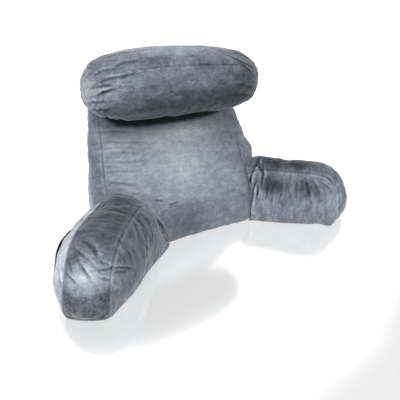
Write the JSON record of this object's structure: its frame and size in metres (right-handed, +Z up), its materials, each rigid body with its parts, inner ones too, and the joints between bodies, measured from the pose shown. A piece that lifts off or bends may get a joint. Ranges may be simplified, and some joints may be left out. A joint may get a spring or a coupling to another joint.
{
  "type": "backrest pillow",
  "caption": "Velour backrest pillow for sitting up in bed, with a leaning stuffed back, two splayed stuffed arms, a neck roll and an outside pocket.",
  "frame": {"origin": "centre of the footprint of the whole pillow, on the surface that it stands on", "axes": "+Z up, +Y from the sitter towards the pillow's back, +X to the right seen from the front, along the pillow's width"},
  "size_m": [1.0456, 0.5919, 0.578],
  "materials": {
    "velour": "short brushed pile, grey, mottled by the lie of the nap",
    "elastic": "black woven elastic, matte"
  },
  "bodies": {
    "root": {"back_cushion": "velour", "arm_left": "velour", "arm_right": "velour", "neck_roll": "velour", "arm_pocket": "velour", "pocket_binding": "elastic"}
  },
  "joints": []
}
